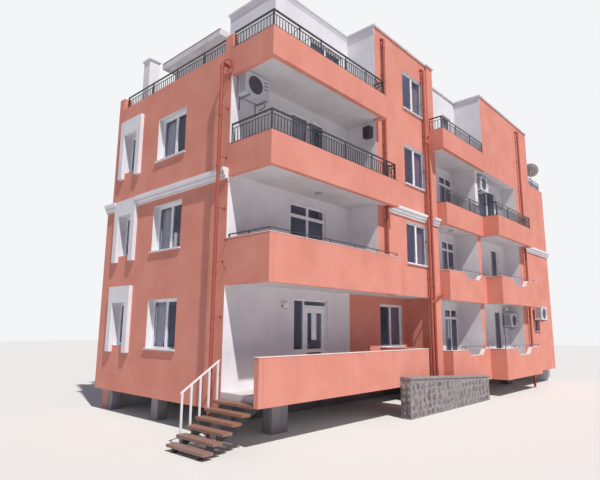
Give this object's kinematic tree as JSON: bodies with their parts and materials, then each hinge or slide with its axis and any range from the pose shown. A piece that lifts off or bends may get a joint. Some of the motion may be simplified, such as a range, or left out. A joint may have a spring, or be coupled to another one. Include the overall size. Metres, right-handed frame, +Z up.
{
  "type": "terraced villa with balconies and penthouse",
  "caption": "Salmon rendered villa with stepped balconies, white window surrounds, a roof terrace with a set-back penthouse and an outside stair, raised on an open undercroft",
  "frame": {"origin": "middle of the footprint on the ground", "axes": "+X runs along the balcony front to the right as seen from in front of it, +Y into the building, +Z up"},
  "size_m": [22.465, 8.86, 12.98],
  "materials": {
    "salmon_render": "matte painted render",
    "white_render": "matte white render",
    "concrete": "matte",
    "rubble": "rough",
    "pvc_white": "satin",
    "glass_dark": "gloss",
    "rail_black": "satin",
    "rail_white": "satin",
    "pipe_salmon": "satin",
    "metal_grey": "satin",
    "unit_white": "satin",
    "fascia_red": "satin",
    "tread_wood": "satin",
    "handle_steel": "brushed",
    "lamp_plastic": "satin",
    "box_dark": "satin"
  },
  "bodies": {
    "building": {"air_conditioner_brackets": "metal_grey", "air_conditioners": "unit_white", "balcony_back_walls": "white_render", "balcony_cross_walls": "white_render", "balcony_door_frames": "pvc_white", "chimney": "white_render", "cornice": "white_render", "cornice_corner_blocks": "white_render", "downspouts": "pipe_salmon", "eave_fascia": "fascia_red", "end_block_front": "salmon_render", "entrance_frame": "pvc_white", "entrance_lintel": "white_render", "entrance_wall": "white_render", "front_railings": "rail_black", "ground_floor_slab": "concrete", "ground_parapet_fronts": "salmon_render", "left_wall": "salmon_render", "low_handrails": "rail_black", "parapet_returns": "salmon_render", "penthouse_front_walls": "white_render", "penthouse_rear_wall": "salmon_render", "penthouse_roof_slab": "concrete", "penthouse_side_walls": "white_render", "pier": "salmon_render", "projecting_bay_front": "salmon_render", "rear_walls": "salmon_render", "right_wall": "salmon_render", "roof_coping": "white_render", "roof_terrace_parapet_fronts": "salmon_render", "roof_terrace_slab": "concrete", "satellite_dish": "metal_grey", "second_floor_parapet_fronts": "salmon_render", "second_floor_slab": "concrete", "side_railings": "rail_black", "stair_handrail": "rail_white", "stair_stringers": "rail_black", "stair_treads": "tread_wood", "stone_plinth": "rubble", "terrace_corner_posts": "salmon_render", "third_floor_parapet_fronts": "salmon_render", "third_floor_slab": "concrete", "undercroft_piers": "salmon_render", "undercroft_wall": "concrete", "wall_cabinet": "box_dark", "wall_lamps": "lamp_plastic", "window_frames": "pvc_white", "window_glass": "glass_dark", "window_sills": "white_render", "window_surrounds": "white_render", "wing_front_wall": "salmon_render"},
    "entrance_leaf": {"entrance_door": "pvc_white", "entrance_door_glass": "glass_dark", "entrance_door_handles": "handle_steel"}
  },
  "joints": [
    {"name": "entrance_hinge", "type": "hinge", "parent": "building", "child": "entrance_leaf", "pos_m": [-5.7155, -2.031, 1.1], "axis": [0, 0, -1], "range_deg": [0, 90]}
  ]
}
